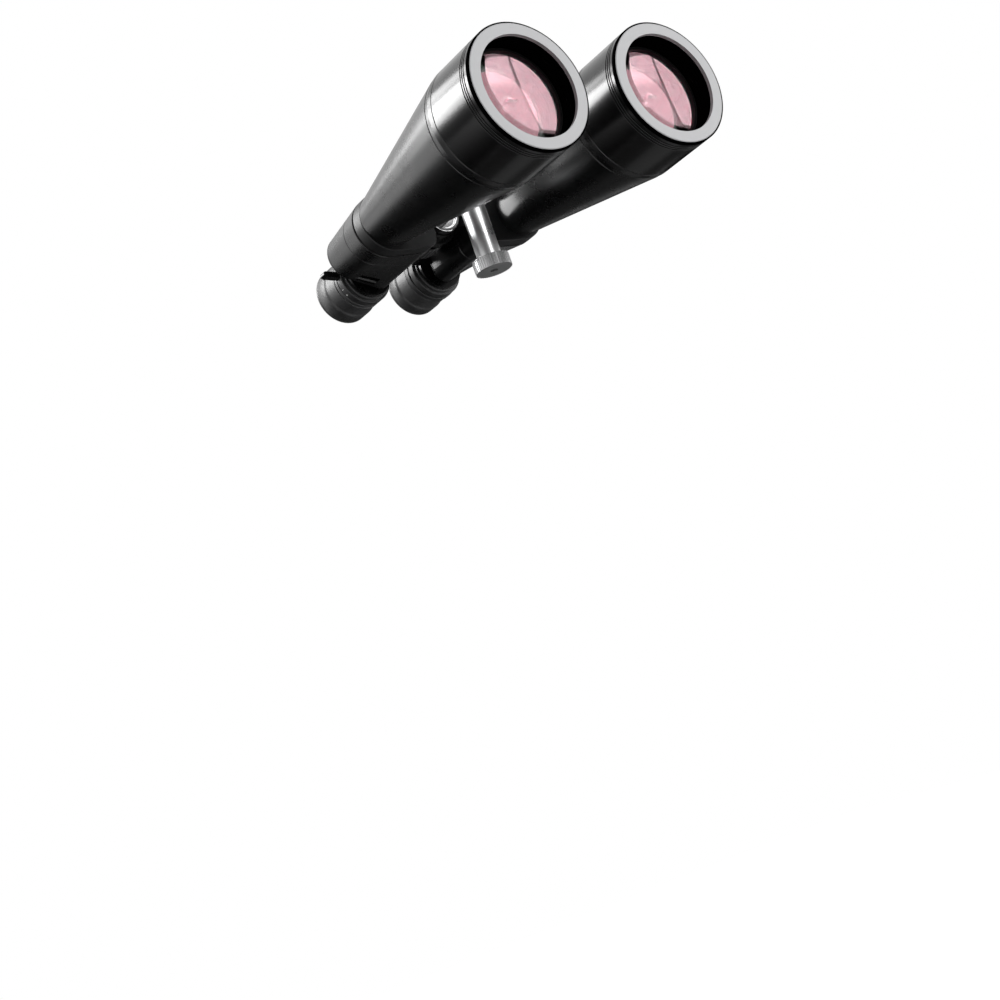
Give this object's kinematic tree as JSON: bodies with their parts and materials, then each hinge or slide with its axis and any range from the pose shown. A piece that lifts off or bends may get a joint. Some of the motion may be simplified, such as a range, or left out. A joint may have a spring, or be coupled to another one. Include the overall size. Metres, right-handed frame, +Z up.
{
  "type": "binoculars",
  "caption": "Giant zoom binoculars: tapered objective barrels, prism housings on a folding hinge, centre focus wheel, zoom lever, and a post with a tripod socket.",
  "frame": {"origin": "middle of the tripod socket's mouth, on the underside of the adapter's foot", "axes": "objectives face -Y and the eyepieces +Y; +Z is up; the half for the user's left eye is on +X, and the zoom lever is on the -X side"},
  "size_m": [0.2328, 0.3373, 0.111],
  "materials": {
    "black_enamel": "satin black enamel on cast alloy",
    "grey_anodised": "satin grey anodised",
    "inside_black": "matt black inside the optics",
    "coated_glass": "ruby coated glass",
    "clear_glass": "polished clear glass",
    "black_rubber": "matt moulded rubber",
    "bright_steel": "turned steel",
    "polished_metal": "polished alloy",
    "matt_black": "matt black anodised alloy",
    "bush_brass": "turned brass",
    "black_plastic": "glossy moulded plastic"
  },
  "bodies": {
    "left_half": {"left_front_ring": "grey_anodised", "left_objective_cell": "black_enamel", "left_lens_retainer": "inside_black", "left_crown_lens": "coated_glass", "left_flint_lens": "clear_glass", "left_barrel_band": "black_enamel", "left_objective_barrel": "black_enamel", "left_front_plate": "black_enamel", "left_housing_seal": "black_rubber", "left_prism_body": "black_enamel", "left_rear_cover": "black_enamel", "left_strap_bar": "bright_steel", "left_prism_shelf": "inside_black", "left_rear_prism": "clear_glass", "left_front_prism": "clear_glass", "left_prism_clips": "bright_steel", "left_ocular_bush": "bush_brass", "hinge_shaft": "bright_steel", "hinge_cap": "black_enamel", "hinge_nut": "black_enamel", "adapter_foot": "polished_metal", "adapter_post": "polished_metal", "adapter_spacer": "black_enamel"},
    "left_ocular": {"left_ocular_barrel": "black_enamel", "left_bridge_arm": "black_enamel", "left_eyecup": "black_rubber", "focus_rod": "bright_steel"},
    "left_zoom_ring": {"left_zoom_ring": "matt_black"},
    "left_zoom_carriage": {"left_zoom_carriage": "inside_black", "left_zoom_lens": "clear_glass"},
    "right_half": {"right_front_ring": "grey_anodised", "right_objective_cell": "black_enamel", "right_lens_retainer": "inside_black", "right_crown_lens": "coated_glass", "right_flint_lens": "clear_glass", "right_barrel_band": "black_enamel", "right_objective_barrel": "black_enamel", "right_front_plate": "black_enamel", "right_housing_seal": "black_rubber", "right_prism_body": "black_enamel", "right_rear_cover": "black_enamel", "right_strap_bar": "bright_steel", "right_prism_shelf": "inside_black", "right_rear_prism": "clear_glass", "right_front_prism": "clear_glass", "right_prism_clips": "bright_steel", "right_ocular_bush": "bush_brass"},
    "right_ocular": {"right_ocular_barrel": "black_enamel", "right_bridge_arm": "black_enamel", "right_eyecup": "black_rubber", "right_eye_lens": "coated_glass"},
    "right_zoom_ring": {"right_zoom_ring": "matt_black", "zoom_lever": "black_plastic"},
    "right_zoom_carriage": {"right_zoom_carriage": "inside_black", "right_zoom_lens": "clear_glass"},
    "left_eye_lens": {"left_eye_lens": "coated_glass"},
    "focus_wheel": {"focus_wheel": "black_enamel", "focus_grip": "black_rubber"},
    "diopter_ring": {"diopter_ring": "matt_black"},
    "adapter_screw": {"adapter_screw": "black_plastic"}
  },
  "joints": [
    {"name": "centre_hinge", "type": "hinge", "parent": "left_half", "child": "right_half", "pos_m": [0, 0.0642, 0.0675], "axis": [0, -1, 0], "range_deg": [-4, 42]},
    {"name": "left_focus_slide", "type": "slide", "parent": "left_half", "child": "left_ocular", "axis": [0, 1, 0], "range_m": [-0.0015, 0.006]},
    {"name": "right_focus_slide", "type": "slide", "parent": "right_half", "child": "right_ocular", "axis": [0, 1, 0], "range_m": [-0.0016, 0.0061]},
    {"name": "focus_turn", "type": "hinge", "parent": "left_half", "child": "focus_wheel", "pos_m": [0, 0.0642, 0.0675], "axis": [0, 1, 0], "range_deg": [-68, 271]},
    {"name": "zoom_turn", "type": "hinge", "parent": "right_ocular", "child": "right_zoom_ring", "pos_m": [-0.0365, 0.1178, 0.052], "axis": [0, 1, 0], "range_deg": [-40, 40]},
    {"name": "left_zoom_turn", "type": "hinge", "parent": "left_ocular", "child": "left_zoom_ring", "pos_m": [0.0365, 0.1178, 0.052], "axis": [0, 1, 0], "range_deg": [-40.5, 40.5]},
    {"name": "right_zoom_slide", "type": "slide", "parent": "right_ocular", "child": "right_zoom_carriage", "axis": [0, 1, 0], "range_m": [-0.0041, 0.0041]},
    {"name": "left_zoom_slide", "type": "slide", "parent": "left_ocular", "child": "left_zoom_carriage", "axis": [0, 1, 0], "range_m": [-0.0041, 0.0041]},
    {"name": "diopter_turn", "type": "hinge", "parent": "left_ocular", "child": "diopter_ring", "pos_m": [0.0365, 0.1256, 0.052], "axis": [0, 1, 0], "range_deg": [-60, 60]},
    {"name": "diopter_slide", "type": "slide", "parent": "left_ocular", "child": "left_eye_lens", "axis": [0, 1, 0], "range_m": [-0.00105, 0.00105]},
    {"name": "adapter_screw_turn", "type": "hinge", "parent": "left_half", "child": "adapter_screw", "pos_m": [0, 0, 0.0675], "axis": [0, 1, 0], "continuous": true}
  ],
  "couplings": [
    {"joint": "right_focus_slide", "follows": "left_focus_slide", "ratio": 1},
    {"joint": "focus_turn", "follows": "left_focus_slide", "rad_per_m": 785.4},
    {"joint": "left_zoom_turn", "follows": "zoom_turn", "ratio": 1},
    {"joint": "right_zoom_slide", "follows": "zoom_turn", "m_per_rad": 0.0057296},
    {"joint": "left_zoom_slide", "follows": "zoom_turn", "m_per_rad": 0.0057296},
    {"joint": "diopter_slide", "follows": "diopter_turn", "m_per_rad": 0.00095493}
  ]
}
